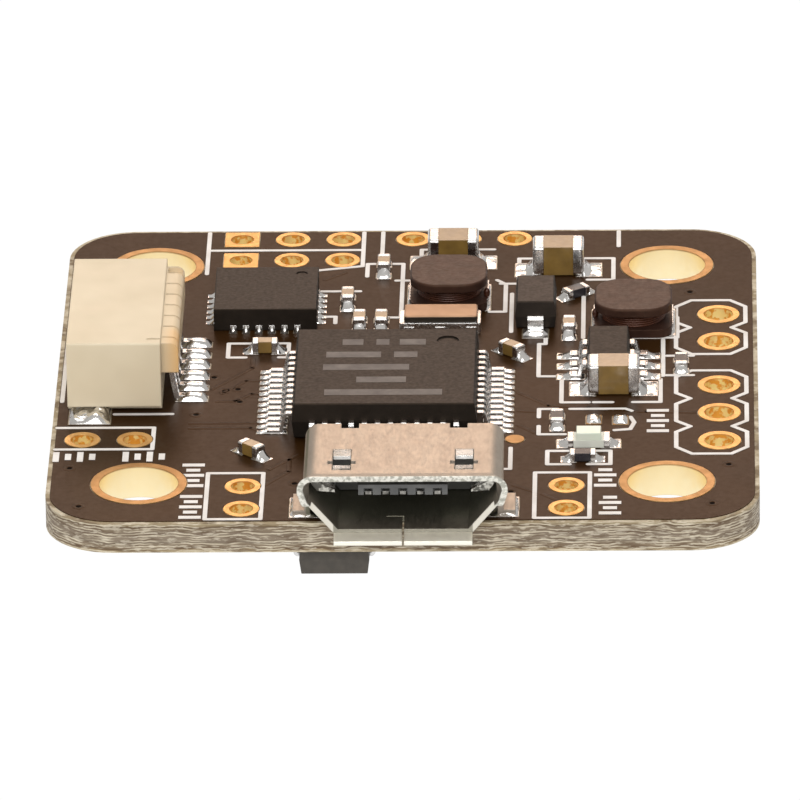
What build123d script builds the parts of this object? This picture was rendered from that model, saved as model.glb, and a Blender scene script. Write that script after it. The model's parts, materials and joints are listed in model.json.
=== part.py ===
"""Flight controller board: a populated square circuit board, one STEP per piece.

Units are millimetres. The origin is the centre of the four mounting holes, on the
underside of the laminate; +Z points out of the component side, +X to the right and
+Y away from the USB socket.
"""

import os
from math import atan2, cos, degrees, hypot, pi, radians, sin, tan

from build123d import *

# ---------------------------------------------------------------- board
board_side = 27.0
board_thick = 1.2
board_corner_r = 2.6
mask_thick = 0.03
mask_setback = 0.17
mask_clearance = 0.03
land_thick = 0.045
ink_thick = 0.015
ink_width = 0.17

top = board_thick
mask_top = top + mask_thick
seat = top + land_thick

# ---------------------------------------------------------------- plated holes
mount_pitch = 20.0
mount_r = 1.5
mount_land_r = 1.83
barrel_wall = 0.06

header_pitch = 2.54
header_x = 12.0
header_r = 0.57  # passes a 0.64 mm square pin across its corners
header_land_r = 0.82
header_ys = [-6.35, -6.35 + header_pitch, -6.35 + 2 * header_pitch, 2.75, 2.75 + header_pitch]

wire_pitch = 2.0
wire_r = 0.45
wire_land_r = 0.68
serial_left = [(-12.3, -6.05), (-12.3 + wire_pitch, -6.05)]
buzzer_pair = [(-6.05, -10.28), (-6.05, -10.28 - wire_pitch)]
serial_right = [(6.2, -10.3), (6.2, -10.3 - wire_pitch)]
back_row_y = 12.6
back_grid_x = -6.75
back_trio = [(wire_pitch * i, back_row_y) for i in range(3)]
back_grid = [
    (back_grid_x + wire_pitch * i, back_row_y - wire_pitch * j) for i in range(3) for j in range(2)
]
square_lands = [(back_grid_x, back_row_y), (back_grid_x, back_row_y - wire_pitch)]

# ---------------------------------------------------------------- chips
mcu_at = (-0.77, -2.7)
mcu_side = 7.0
mcu_height = 1.4
mcu_standoff = 0.1
mcu_pins_per_side = 12
mcu_pitch = 0.5
mcu_span = 9.0

imu_at = (-5.6, 5.95)
imu_side = 4.0
imu_height = 0.9
imu_pins_per_side = 6
imu_pitch = 0.5

regulator_at = (7.75, 0.45)
regulator_size = (1.65, 2.85, 1.05)
regulator_pitch = 0.95
regulator_span = 2.9

diode_at = (4.9, 5.3)
under_diode_at = (-2.55, -12.25)
diode_size = (2.65, 1.6, 1.1)
diode_span = 3.7

resonator_at = (1.2, 4.05)
resonator_base = (3.15, 1.25, 0.5)
resonator_lid = (2.85, 1.18, 0.28)
resonator_pitch = 1.2

inductor_places = [(1.5, 6.95), (8.7, 4.55)]
inductor_side = 3.0
inductor_height = 1.2
inductor_flange = 0.34
inductor_coil_r = 1.28

# ---------------------------------------------------------------- two-terminal chips: x, y, turn
large_capacitor = (2.0, 1.25, 1.25, 0.42)
large_capacitor_places = [(7.95, -1.62, 0), (5.75, 9.55, 0), (1.62, 10.3, 0)]
small_capacitor = (1.0, 0.5, 0.5, 0.24)
small_capacitor_places = [
    (-5.55, 2.0, 0),
    (-5.8, -7.45, -42),
    (4.0, 1.6, -42),
    (6.2, 3.7, 90),
    (-2.45, 6.5, 90),
    (-1.95, 4.35, 90),
    (-1.1, 4.35, 90),
    (-1.1, 9.6, 90),
]
small_resistor = (1.0, 0.5, 0.35, 0.2)
small_resistor_places = [(5.8, -4.65, 90), (10.55, 0.5, 90), (6.8, -8.0, 0), (6.45, 7.15, 35)]
led_at = (7.02, -6.6)
led_base = (1.6, 0.8, 0.3)
led_lens = (1.0, 0.76, 0.3)

# ---------------------------------------------------------------- side-entry plug connector
plug_pins = 6
plug_pitch = 1.0
plug_y = 0.15
plug_width = 8.0
plug_front_x = -12.95
plug_rear_x = -9.35
plug_block_x = -8.68
plug_top = top + 3.05
plug_end_lift = 0.4

# ---------------------------------------------------------------- USB socket
usb_x = 0.1
usb_half = 3.75
usb_low = top + 0.05
usb_high = top + 2.45
usb_back_y = -9.9
usb_flare_y = -14.35
usb_mouth_y = -15.05
usb_flare = 0.2
usb_slant_x = 1.2
usb_slant_z = 1.45
usb_sheet = 0.22
usb_contact_pitch = 0.65

os.makedirs("parts", exist_ok=True)


def save(piece, name):
    """Label a finished piece and write it as its own STEP."""
    piece.label = name
    export_step(piece, f"parts/{name}.step")


def box_from(low, high, mode=Mode.ADD):
    """An axis-aligned block between two corners, in the active part."""
    size = [h - l for l, h in zip(low, high)]
    middle = [(h + l) / 2 for l, h in zip(low, high)]
    with Locations(tuple(middle)):
        Box(*size, mode=mode)


def spun(places, z=0.0):
    """Locations for a list of (x, y, turn about Z)."""
    return [Location((x, y, z), (0, 0, turn)) for x, y, turn in places]


def beside(place, along, across=0.0):
    """A point beside a turned place, measured in the place's own directions."""
    x, y, turn = place
    c, s = cos(radians(turn)), sin(radians(turn))
    return (x + along * c - across * s, y + along * s + across * c, turn)


# ---------------------------------------------------------------- lands: (x, y, turn, width, depth)
def pair_lands(places, offset, width, depth):
    """Two lands per chip, at either end."""
    return [
        (*beside(place, side * offset), width, depth) for place in places for side in (-1, 1)
    ]


def row_lands(centre, count, pitch, offset, length, width, sides):
    """Rows of lands around a chip; sides holds the turn of each row."""
    lands = []
    for turn in sides:
        for i in range(count):
            step = (i - (count - 1) / 2) * pitch
            lands.append((*beside((*centre, turn), offset, step), length, width))
    return lands


four_sides = (0, 90, 180, 270)
mcu_lands = row_lands(mcu_at, mcu_pins_per_side, mcu_pitch, 4.32, 1.15, 0.27, four_sides)
imu_lands = row_lands(imu_at, imu_pins_per_side, imu_pitch, 2.02, 0.5, 0.26, four_sides)
regulator_lands = row_lands(regulator_at, 3, regulator_pitch, 1.45, 1.1, 0.55, (0, 180))
diode_lands = pair_lands([(*diode_at, 90)], 1.75, 0.9, 1.0)
resonator_lands = [
    (resonator_at[0] + i * resonator_pitch, resonator_at[1], 0, 0.45, 1.75) for i in (-1, 0, 1)
]
inductor_lands = pair_lands([(x, y, 0) for x, y in inductor_places], 1.2, 0.85, 2.5)
large_lands = pair_lands(large_capacitor_places, 1.2, 1.0, 1.3)
small_lands = pair_lands(small_capacitor_places + small_resistor_places, 0.5, 0.5, 0.58)
led_lands = pair_lands([(*led_at, 0)], 0.85, 0.75, 0.8)
boot_lands = [(7.2, -4.42, 0, 0.6, 0.8), (8.22, -4.48, 0, 0.6, 0.8)]
plug_pin_ys = [plug_y + (i - (plug_pins - 1) / 2) * plug_pitch for i in range(plug_pins)]
plug_tab_ys = [plug_y - 4.05, plug_y + 4.05]
plug_lands = [(-8.25, y, 0, 1.25, 0.55) for y in plug_pin_ys]
plug_lands += [(-12.1, y, 0, 1.6, 1.5) for y in plug_tab_ys]
usb_pin_xs = [usb_x + (i - 2) * usb_contact_pitch for i in range(5)]
usb_lands = [(x, -9.35, 0, 0.4, 1.1) for x in usb_pin_xs]
usb_wing_lands = [(usb_x + side * 3.75, -12.2, 0, 1.15, 1.75) for side in (-1, 1)]
all_lands = (
    mcu_lands + imu_lands + regulator_lands + diode_lands + resonator_lands + inductor_lands
    + large_lands + small_lands + led_lands + boot_lands + plug_lands + usb_lands + usb_wing_lands
)
test_pad = (4.2, -6.15)
test_pad_r = 0.37


def draw_lands(lands, grow=0.0, mode=Mode.ADD):
    """Rectangles of a land list, in the active sketch."""
    for x, y, turn, width, depth in lands:
        with Locations(Location((x, y, 0), (0, 0, turn))):
            Rectangle(width + 2 * grow, depth + 2 * grow, mode=mode)


wire_holes = serial_left + buzzer_pair + serial_right + back_trio + back_grid
header_holes = [(header_x, y) for y in header_ys]
mount_holes = [(sx * mount_pitch / 2, sy * mount_pitch / 2) for sx in (-1, 1) for sy in (-1, 1)]


def draw_holes(grow=0.0, mode=Mode.ADD, lands=False):
    """Every drilled hole, or every round land around one, in the active sketch."""
    rows = (
        (mount_holes, mount_land_r if lands else mount_r),
        (header_holes, header_land_r if lands else header_r),
        (wire_holes, wire_land_r if lands else wire_r),
    )
    for centres, radius in rows:
        with Locations(*centres):
            Circle(radius + grow, mode=mode)
    if lands:
        with Locations(*square_lands):
            Rectangle(2 * (wire_land_r + grow), 2 * (wire_land_r + grow), mode=mode)


# ---------------------------------------------------------------- laminate and solder mask
with BuildPart() as circuit_board:
    with BuildSketch(Plane.XY):
        RectangleRounded(board_side, board_side, board_corner_r)
        draw_holes(grow=barrel_wall, mode=Mode.SUBTRACT)
    extrude(amount=board_thick)
save(circuit_board.part, "circuit_board")

mask_side = board_side - 2 * mask_setback
with BuildPart() as mask_upper:
    with BuildSketch(Plane.XY.offset(top)):
        RectangleRounded(mask_side, mask_side, board_corner_r - mask_setback)
        draw_holes(grow=mask_clearance, mode=Mode.SUBTRACT, lands=True)
        draw_lands(all_lands, grow=mask_clearance, mode=Mode.SUBTRACT)
        with Locations(test_pad):
            Circle(test_pad_r + mask_clearance, mode=Mode.SUBTRACT)
    extrude(amount=mask_thick)
save(mask_upper.part, "solder_mask_top")

under_diode_lands = pair_lands([(*under_diode_at, 0)], 1.75, 0.9, 1.0)
with BuildPart() as mask_lower:
    with BuildSketch(Plane.XY.offset(-mask_thick)):
        RectangleRounded(mask_side, mask_side, board_corner_r - mask_setback)
        draw_holes(grow=mask_clearance, mode=Mode.SUBTRACT, lands=True)
        draw_lands(under_diode_lands, grow=mask_clearance, mode=Mode.SUBTRACT)
    extrude(amount=mask_thick)
save(mask_lower.part, "solder_mask_bottom")


# ---------------------------------------------------------------- gold-plated holes
def eyelets(centres, hole_r, land_r, square=()):
    """Plated barrels with a land on each face of the board."""
    with BuildPart() as plating:
        for z in (-land_thick, top):
            with BuildSketch(Plane.XY.offset(z)):
                with Locations(*centres):
                    Circle(land_r)
                if square:
                    with Locations(*square):
                        Rectangle(2 * land_r, 2 * land_r)
            extrude(amount=land_thick)
        with BuildSketch(Plane.XY):
            with Locations(*centres):
                Circle(hole_r + barrel_wall)
        extrude(amount=top)
        with BuildSketch(Plane.XY.offset(-1)):
            with Locations(*centres):
                Circle(hole_r)
        extrude(amount=top + 2, mode=Mode.SUBTRACT)
    return plating.part


save(eyelets(mount_holes, mount_r, mount_land_r), "mounting_hole_plating")
save(eyelets(header_holes, header_r, header_land_r), "header_hole_plating")
save(eyelets(serial_left + buzzer_pair + serial_right, wire_r, wire_land_r), "wire_hole_plating")
save(eyelets(back_trio + back_grid, wire_r, wire_land_r, square_lands), "back_row_plating")


# ---------------------------------------------------------------- tinned and gold lands
def land_set(lands, z=top):
    """Thin copper lands on one face of the board."""
    with BuildPart() as pads:
        with BuildSketch(Plane.XY.offset(z)):
            draw_lands(lands)
        extrude(amount=land_thick)
    return pads.part


chip_lands = mcu_lands + imu_lands + regulator_lands + diode_lands + resonator_lands
passive_lands = inductor_lands + large_lands + small_lands + led_lands
save(land_set(chip_lands), "chip_lands")
save(land_set(passive_lands), "passive_lands")
save(land_set(plug_lands + usb_lands + usb_wing_lands), "connector_lands")
save(land_set(boot_lands), "boot_lands")
save(land_set(under_diode_lands, -land_thick), "underside_lands")

with BuildPart() as test_point:
    with BuildSketch(Plane.XY.offset(top)):
        with Locations(test_pad):
            Circle(test_pad_r)
    extrude(amount=land_thick)
save(test_point.part, "test_point")

# ---------------------------------------------------------------- printed outlines
def header_outline(low_y, count):
    """A closed outline that narrows between neighbouring header holes."""
    left, right = header_x - 1.65, header_x + 1.05
    nip = 0.5
    corner = 0.6
    pinch = 0.55
    first, last = low_y - 1.2, low_y + (count - 1) * header_pitch + 1.3
    joints = [low_y + (i + 0.5) * header_pitch for i in range(count - 1)]
    points = [(left + corner, first), (right - corner, first), (right, first + corner)]
    for y in joints:
        points += [(right, y - nip), (right - pinch, y), (right, y + nip)]
    points += [(right, last - corner), (right - corner, last), (left + corner, last)]
    points += [(left, last - corner)]
    for y in reversed(joints):
        points += [(left, y + nip), (left + pinch, y), (left, y - nip)]
    points += [(left, first + corner), (left + corner, first)]
    return points


def frame_outline(x0, y0, x1, y1):
    """A closed rectangle."""
    return [(x0, y0), (x1, y0), (x1, y1), (x0, y1), (x0, y0)]


ink_lines = [
    header_outline(header_ys[0], 3),
    header_outline(header_ys[3], 2),
    [(-13.3, -4.98), (-9.6, -4.98), (-9.6, -6.93), (-13.3, -6.93)],
    frame_outline(-7.4, -13.2, -5.3, -9.12),
    frame_outline(5.0, -13.2, 7.08, -9.18),
    [(-8.05, 9.3), (-8.05, 13.25)],
    [(-8.05, 11.55), (-2.0, 11.55)],
    [(-1.95, 13.25), (-1.95, 10.0), (-3.7, 9.6)],
    [(-1.2, 13.25), (-1.2, 10.7)],
    [(-1.75, 9.0), (-1.75, 10.2), (-0.35, 10.2), (-0.35, 5.1), (-1.1, 5.1)],
    [(0.35, 9.9), (0.35, 11.55), (3.2, 11.55)],
    [(-0.6, 8.6), (0.1, 8.6), (0.1, 5.4)],
    [(3.35, 8.6), (3.7, 8.2), (3.7, 5.6), (3.1, 5.6)],
    [(3.5, 8.25), (4.75, 8.25)],
    [(4.2, 8.6), (4.2, 10.65), (7.9, 10.65), (7.9, 8.6), (6.9, 8.6)],
    [(3.95, 3.7), (3.95, 7.3)],
    [(5.95, 7.45), (6.75, 7.3), (6.75, 3.1)],
    [(8.1, 11.8), (8.1, 13.25)],
    [(5.3, 3.1), (5.3, 2.55), (5.05, 2.55), (5.05, -0.45), (6.4, -0.45)],
    [(8.7, 3.1), (10.4, 3.1), (10.4, 5.0)],
    [(9.85, 2.9), (9.85, -0.45), (8.9, -0.45)],
    [(10.0, 1.4), (11.0, 1.4)],
    [(10.0, -0.4), (11.0, -0.4)],
    [(7.0, -2.85), (5.95, -2.85), (5.95, -0.75)],
    [(8.7, -2.85), (9.75, -2.85), (9.75, -0.75)],
    [(7.2, -2.85), (7.9, -2.85)],
    [(5.8, -3.45), (5.1, -3.45), (5.1, -4.2)],
    [(5.1, -5.0), (5.1, -5.75), (6.1, -5.75)],
    [(6.3, -3.45), (8.4, -3.45), (8.65, -3.65)],
    [(8.6, -4.2), (8.75, -4.7), (8.6, -5.3), (8.0, -5.4)],
    [(6.5, -7.25), (5.45, -7.25), (5.45, -8.45), (6.3, -8.45)],
    [(7.1, -7.25), (7.85, -7.25), (7.85, -8.45), (7.0, -8.45)],
    [(4.05, -6.95), (4.05, -8.85), (3.75, -8.85)],
    [(-6.3, 1.42), (-6.98, 1.42), (-6.98, 2.72), (-6.1, 2.72)],
    [(-5.0, 1.42), (-4.65, 1.42), (-4.65, 2.72), (-5.2, 2.72)],
    [(-11.15, -3.75), (-8.95, -3.75)],
    [(-13.22, -2.6), (-13.22, 3.0)],
    [(-3.5, 7.6), (-2.0, 7.6)],
    [(-3.4, 5.2), (-2.9, 5.2), (-2.9, 4.6)],
]

with BuildPart() as ink_frames:
    with BuildSketch(Plane.XY.offset(mask_top)):
        for line in ink_lines:
            for (x0, y0), (x1, y1) in zip(line, line[1:]):
                length = hypot(x1 - x0, y1 - y0)
                turn = degrees(atan2(y1 - y0, x1 - x0))
                with Locations(Location(((x0 + x1) / 2, (y0 + y1) / 2, 0), (0, 0, turn))):
                    SlotCenterToCenter(length, ink_width)
        draw_lands(all_lands, grow=mask_clearance, mode=Mode.SUBTRACT)
        draw_holes(grow=mask_clearance, mode=Mode.SUBTRACT, lands=True)
    extrude(amount=ink_thick)
save(ink_frames.part, "printed_outlines")

# Plain bars stand where a board carries its pad labels: (x, y, turn, bar count).
label_places = [
    (-12.55, -7.6, 0, 4),
    (-9.9, -7.6, 0, 4),
    (-7.97, -9.3, 90, 5),
    (-7.97, -12.1, 90, 5),
    (7.66, -9.65, 90, 4),
    (7.85, -12.1, 90, 4),
    (9.65, -4.55, 90, 5),
]
bar_height = 0.85
short_bar_height = 0.53
bar_width = 0.24
bar_pitch = 0.46
with BuildPart() as ink_labels:
    with BuildSketch(Plane.XY.offset(mask_top)):
        for x, y, turn, count in label_places:
            for i in range(count):
                step = (i - (count - 1) / 2) * bar_pitch
                height = bar_height if i % 2 == 0 else short_bar_height
                with Locations(Location((*beside((x, y, turn), step)[:2], 0), (0, 0, turn))):
                    Rectangle(bar_width, height)
        draw_holes(grow=mask_clearance, mode=Mode.SUBTRACT, lands=True)
    extrude(amount=ink_thick)
save(ink_labels.part, "printed_labels")


# ---------------------------------------------------------------- bent-metal leads
def bent_strip(points, width, thick, bend):
    """A strip of sheet metal that follows points in the XZ plane, centred on Y = 0."""
    with BuildPart() as strip:
        with BuildLine(Plane.XZ) as route:
            FilletPolyline(*points, radius=bend)
        with BuildSketch(Plane(route.line @ 0, x_dir=(0, 1, 0), z_dir=route.line % 0)):
            Rectangle(width, thick)
        sweep()
    return strip.part


def placed_copies(piece, places):
    """Separate copies of one piece at (x, y, turn, z)."""
    with BuildPart() as group:
        for x, y, turn, z in places:
            with Locations(Location((x, y, z), (0, 0, turn))):
                add(piece)
    return group.part


def lead_places(centre, count, pitch, sides, z):
    """Where the leads of a chip leave it: rows on the given sides."""
    places = []
    for turn in sides:
        for i in range(count):
            step = (i - (count - 1) / 2) * pitch
            places.append((*beside((*centre, turn), 0, step), z))
    return places


# ---------------------------------------------------------------- moulded chip bodies
def moulded_body(size, standoff, parting, draft, edge):
    """A moulded package with a parting line, drafted above and below it."""
    with BuildPart() as package:
        with BuildSketch(Plane.XY.offset(parting)):
            Rectangle(size[0], size[1])
        extrude(amount=standoff + size[2] - parting, taper=draft)
        with BuildSketch(Plane.XY.offset(parting)):
            Rectangle(size[0], size[1])
        extrude(amount=-(parting - standoff), taper=draft)
        fillet(package.edges().group_by(Axis.Z)[-1], edge)
    return package.part


# ---------------------------------------------------------------- microcontroller
mcu_blank = moulded_body((mcu_side + 0.06, mcu_side + 0.06, mcu_height), mcu_standoff, 0.78, 7, 0.06)
dimple_r = 0.42
dimple_depth = 0.06
dimple_inset = 1.15
mcu_face = mcu_standoff + mcu_height
with BuildPart() as mcu_body:
    add(mcu_blank.moved(Location((*mcu_at, seat))))
    dimple = (mcu_at[0] + mcu_side / 2 - dimple_inset, mcu_at[1] + mcu_side / 2 - dimple_inset)
    with BuildSketch(Plane.XY.offset(seat + mcu_face)):
        with Locations(dimple):
            Circle(dimple_r)
    extrude(amount=-dimple_depth, mode=Mode.SUBTRACT)
save(mcu_body.part, "mcu_body")

mcu_lead_thick = 0.13
mcu_lead = bent_strip(
    [
        (mcu_side / 2 + 0.03, 0.78),
        (mcu_side / 2 + 0.3, 0.78),
        (mcu_side / 2 + 0.46, mcu_lead_thick / 2),
        (mcu_span / 2, mcu_lead_thick / 2),
    ],
    0.21, mcu_lead_thick, 0.09,
)
mcu_lead_places = lead_places(mcu_at, mcu_pins_per_side, mcu_pitch, four_sides, seat)
save(placed_copies(mcu_lead, mcu_lead_places), "mcu_leads")

# ---------------------------------------------------------------- motion sensor, leadless
with BuildPart() as imu_body:
    with BuildSketch(Plane.XY.offset(seat)):
        with Locations(imu_at):
            Rectangle(imu_side, imu_side)
    extrude(amount=imu_height)
    fillet(imu_body.edges().group_by(Axis.Z)[-1], 0.04)
    with BuildSketch(Plane.XY.offset(seat + imu_height)):
        with Locations((imu_at[0] + 1.35, imu_at[1] + 1.35)):
            Circle(0.22)
    extrude(amount=-0.04, mode=Mode.SUBTRACT)
save(imu_body.part, "imu_body")

imu_pad_places = lead_places(imu_at, imu_pins_per_side, imu_pitch, four_sides, seat)
with BuildPart() as imu_pad:
    box_from((imu_side / 2, -0.12, 0.0), (imu_side / 2 + 0.03, 0.12, 0.22))
save(placed_copies(imu_pad.part, imu_pad_places), "imu_end_pads")

# ---------------------------------------------------------------- voltage regulator
regulator_blank = moulded_body(regulator_size, 0.06, 0.55, 8, 0.05)
with BuildPart() as regulator_body:
    add(regulator_blank.moved(Location((*regulator_at, seat))))
save(regulator_body.part, "regulator_body")

regulator_lead = bent_strip(
    [
        (regulator_size[0] / 2, 0.55),
        (regulator_size[0] / 2 + 0.2, 0.55),
        (regulator_size[0] / 2 + 0.32, 0.08),
        (regulator_span / 2 + 0.05, 0.08),
    ],
    0.4, 0.15, 0.1,
)
save(
    placed_copies(regulator_lead, lead_places(regulator_at, 3, regulator_pitch, (0, 180), seat)),
    "regulator_leads",
)


# ---------------------------------------------------------------- diodes, one on each face
diode_blank = moulded_body(diode_size, 0.03, 0.5, 7, 0.06)
diode_lead = bent_strip(
    [
        (diode_size[0] / 2, 0.5),
        (diode_size[0] / 2 + 0.14, 0.5),
        (diode_size[0] / 2 + 0.16, 0.08),
        (diode_span / 2 + 0.06, 0.08),
    ],
    0.62, 0.15, 0.09,
)
diode_spot = (*diode_at, 90, seat)
save(placed_copies(diode_blank, [diode_spot]), "diode_body")
save(placed_copies(diode_lead, [diode_spot, (*diode_at, 270, seat)]), "diode_leads")

hang = Location((*under_diode_at, -land_thick), (180, 0, 0))
hang_turned = Location((*under_diode_at, -land_thick), (180, 0, 180))
with BuildPart() as under_diode:
    add(diode_blank.moved(hang))
save(under_diode.part, "underside_diode_body")
with BuildPart() as under_leads:
    add(diode_lead.moved(hang))
    add(diode_lead.moved(hang_turned))
save(under_leads.part, "underside_diode_leads")

# ---------------------------------------------------------------- ceramic resonator
with BuildPart() as resonator_foot:
    with Locations((*resonator_at, seat + resonator_base[2] / 2)):
        Box(*resonator_base)
    fillet(resonator_foot.edges().filter_by(Axis.Z), 0.08)
    for i in (-1, 0, 1):
        for side in (-1, 1):
            x = resonator_at[0] + i * resonator_pitch
            y = resonator_at[1] + side * (resonator_base[1] / 2 - 0.03)
            box_from((x - 0.2, y - 0.03, seat), (x + 0.2, y + 0.03, seat + 0.34), Mode.SUBTRACT)
save(resonator_foot.part, "resonator_base")

with BuildPart() as resonator_ends:
    for i in (-1, 0, 1):
        for side in (-1, 1):
            x = resonator_at[0] + i * resonator_pitch
            y = resonator_at[1] + side * (resonator_base[1] / 2 - 0.02)
            box_from((x - 0.2, y - 0.04, seat), (x + 0.2, y + 0.04, seat + 0.34))
save(resonator_ends.part, "resonator_terminals")

lid_low = seat + resonator_base[2]
with BuildPart() as resonator_cover:
    with BuildSketch(Plane.XY.offset(lid_low)):
        with Locations((resonator_at[0] + 0.03, resonator_at[1] + 0.02)):
            RectangleRounded(resonator_lid[0], resonator_lid[1], 0.12)
    extrude(amount=resonator_lid[2])
    fillet(resonator_cover.edges().group_by(Axis.Z)[-1], 0.07)
save(resonator_cover.part, "resonator_lid")

# ---------------------------------------------------------------- drum-core inductors
coil_low = seat + inductor_flange
coil_high = seat + inductor_height - inductor_flange
drum_r = 0.75
with BuildPart() as inductor_cores:
    with BuildSketch(Plane.XY.offset(seat)):
        with Locations(*inductor_places):
            RectangleRounded(inductor_side, inductor_side, 0.55)
    extrude(amount=inductor_flange)
    with BuildSketch(Plane.XY.offset(coil_high)):
        with Locations(*inductor_places):
            RectangleRounded(inductor_side, inductor_side, 1.05)
    extrude(amount=inductor_flange)
    with BuildSketch(Plane.XY.offset(coil_low)):
        with Locations(*inductor_places):
            Circle(drum_r)
    extrude(amount=coil_high - coil_low)
    fillet(inductor_cores.edges().group_by(Axis.Z)[-1], 0.08)
save(inductor_cores.part, "inductor_cores")

with BuildPart() as inductor_coils:
    with BuildSketch(Plane.XY.offset(coil_low)):
        with Locations(*inductor_places):
            Circle(inductor_coil_r)
            Circle(drum_r, mode=Mode.SUBTRACT)
    extrude(amount=coil_high - coil_low)
    fillet(inductor_coils.edges().filter_by(GeomType.CIRCLE).group_by(SortBy.RADIUS)[-1], 0.12)
save(inductor_coils.part, "inductor_coils")

with BuildPart() as inductor_ends:
    for x, y in inductor_places:
        for side in (-1, 1):
            edge_x = x + side * (inductor_side / 2)
            low_x, high_x = sorted((edge_x, edge_x + side * 0.05))
            box_from((low_x, y - 0.9, seat), (high_x, y + 0.9, seat + inductor_flange))
save(inductor_ends.part, "inductor_terminals")


# ---------------------------------------------------------------- capacitors and resistors
def chip_cores(places, chip, skin):
    """The ceramic between the end caps, slightly smaller than the caps."""
    length, width, height, cap = chip
    with BuildPart() as cores:
        with Locations(*spun(places, seat + height / 2)):
            Box(length - 2 * cap, width - 2 * skin, height - 2 * skin)
    return cores.part


def chip_caps(places, chip, round_r):
    """Plated end caps with rounded edges."""
    length, width, height, cap = chip
    with BuildPart() as one_cap:
        Box(cap, width, height)
        fillet(one_cap.edges().filter_by(Axis.X), round_r)
        fillet(one_cap.edges().group_by(Axis.X)[-1], round_r * 0.8)
    with BuildPart() as caps:
        for place in places:
            for turn in (0, 180):
                end = beside(place, (length - cap) / 2 * (1 if turn == 0 else -1))
                with Locations(Location((end[0], end[1], seat + height / 2), (0, 0, place[2] + turn))):
                    add(one_cap.part)
    return caps.part


save(chip_cores(large_capacitor_places, large_capacitor, 0.03), "large_capacitor_bodies")
save(chip_caps(large_capacitor_places, large_capacitor, 0.16), "large_capacitor_ends")
save(chip_cores(small_capacitor_places, small_capacitor, 0.015), "small_capacitor_bodies")
save(chip_caps(small_capacitor_places, small_capacitor, 0.07), "small_capacitor_ends")
save(chip_cores(small_resistor_places, small_resistor, 0.01), "small_resistor_bodies")
save(chip_caps(small_resistor_places, small_resistor, 0.05), "small_resistor_ends")

# ---------------------------------------------------------------- indicator light
led_end = 0.22
with BuildPart() as led_foot:
    with Locations((*led_at, seat + led_base[2] / 2)):
        Box(led_base[0] - 2 * led_end, led_base[1], led_base[2])
save(led_foot.part, "led_base")

with BuildPart() as led_dome:
    with BuildSketch(Plane.XY.offset(seat + led_base[2])):
        with Locations(led_at):
            Rectangle(led_lens[0], led_lens[1])
    extrude(amount=led_lens[2], taper=6)
    fillet(led_dome.edges().group_by(Axis.Z)[-1], 0.05)
save(led_dome.part, "led_lens")

with BuildPart() as led_ends:
    for side in (-1, 1):
        with Locations((led_at[0] + side * (led_base[0] - led_end) / 2, led_at[1], seat + led_base[2] / 2)):
            Box(led_end, led_base[1], led_base[2] + 0.02)
save(led_ends.part, "led_terminals")

# ---------------------------------------------------------------- side-entry plug connector
plug_low_y = plug_y - plug_width / 2
plug_high_y = plug_y + plug_width / 2
plug_foot = top + 0.08
cheek = 0.55
mouth_low = top + 0.75
mouth_high = top + 2.5
mouth_half = 3.1
mouth_deep_x = -10.1
key_slot_y = 2.6
key_slot_half = 0.25
key_slot_deep = 0.3
slit_back_x = 0.52
slit_low_y = plug_low_y + 0.38
slit_high_y = plug_low_y + 0.5
contact_seat_half = 0.16
contact_seat_low = top + 1.24
contact_seat_high = top + 1.46
block_low = top + 1.65
block_high = top + 2.87
block_half = 3.6
slot_width = 0.09
slot_deep = 0.16

with BuildPart() as plug_housing:
    box_from((plug_front_x, plug_low_y, top + plug_end_lift), (plug_rear_x, plug_high_y, plug_top))
    fillet(plug_housing.edges().filter_by(Axis.X).group_by(Axis.Z)[-1], 0.07)
    box_from(
        (plug_front_x, plug_low_y + cheek, plug_foot),
        (plug_rear_x, plug_high_y - cheek, top + plug_end_lift + 0.1),
    )
    with BuildSketch(Plane.XZ.offset(block_half - plug_y)):
        with Locations(((plug_rear_x + plug_block_x) / 2 - 0.1, (block_low + block_high) / 2)):
            Rectangle(plug_block_x - plug_rear_x + 0.2, block_high - block_low)
    extrude(amount=-2 * block_half)
    rear_edges = plug_housing.edges().filter_by(Axis.Y).sort_by(Axis.X)[-2:]
    fillet(rear_edges.sort_by(Axis.Z)[-1], 0.3)
    # open mouth for the plug
    box_from(
        (plug_front_x - 1, plug_y - mouth_half, mouth_low),
        (mouth_deep_x, plug_y + mouth_half, mouth_high),
        Mode.SUBTRACT,
    )
    for side in (-1, 1):
        y = plug_y + side * key_slot_y
        box_from(
            (plug_front_x - 1, y - key_slot_half, mouth_low - key_slot_deep),
            (mouth_deep_x - 0.8, y + key_slot_half, mouth_low + 0.1),
            Mode.SUBTRACT,
        )
    # grooves that divide the rear block into one cell per contact
    for i in range(plug_pins + 1):
        y = plug_y + (i - plug_pins / 2) * plug_pitch
        box_from(
            (plug_rear_x + 0.06, y - slot_width / 2, block_low),
            (plug_block_x + 0.1, y + slot_width / 2, block_high + 0.1),
            Mode.SUBTRACT,
        )
    # recess over the last cell, and the slit on the top edge near the front end
    box_from(
        (plug_rear_x + 0.06, plug_y + 3.04, block_high - 0.22),
        (plug_block_x - 0.05, plug_y + block_half - 0.08, block_high + 0.1),
        Mode.SUBTRACT,
    )
    box_from(
        (plug_rear_x - slit_back_x, slit_low_y, plug_top - slot_deep),
        (plug_rear_x + 0.1, slit_high_y, plug_top + 0.1),
        Mode.SUBTRACT,
    )
    # seats for the contacts and the solder tabs
    for y in plug_pin_ys:
        box_from(
            (mouth_deep_x - 0.1, y - contact_seat_half, contact_seat_low),
            (plug_rear_x + 0.1, y + contact_seat_half, contact_seat_high),
            Mode.SUBTRACT,
        )
save(plug_housing.part, "plug_housing")

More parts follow.
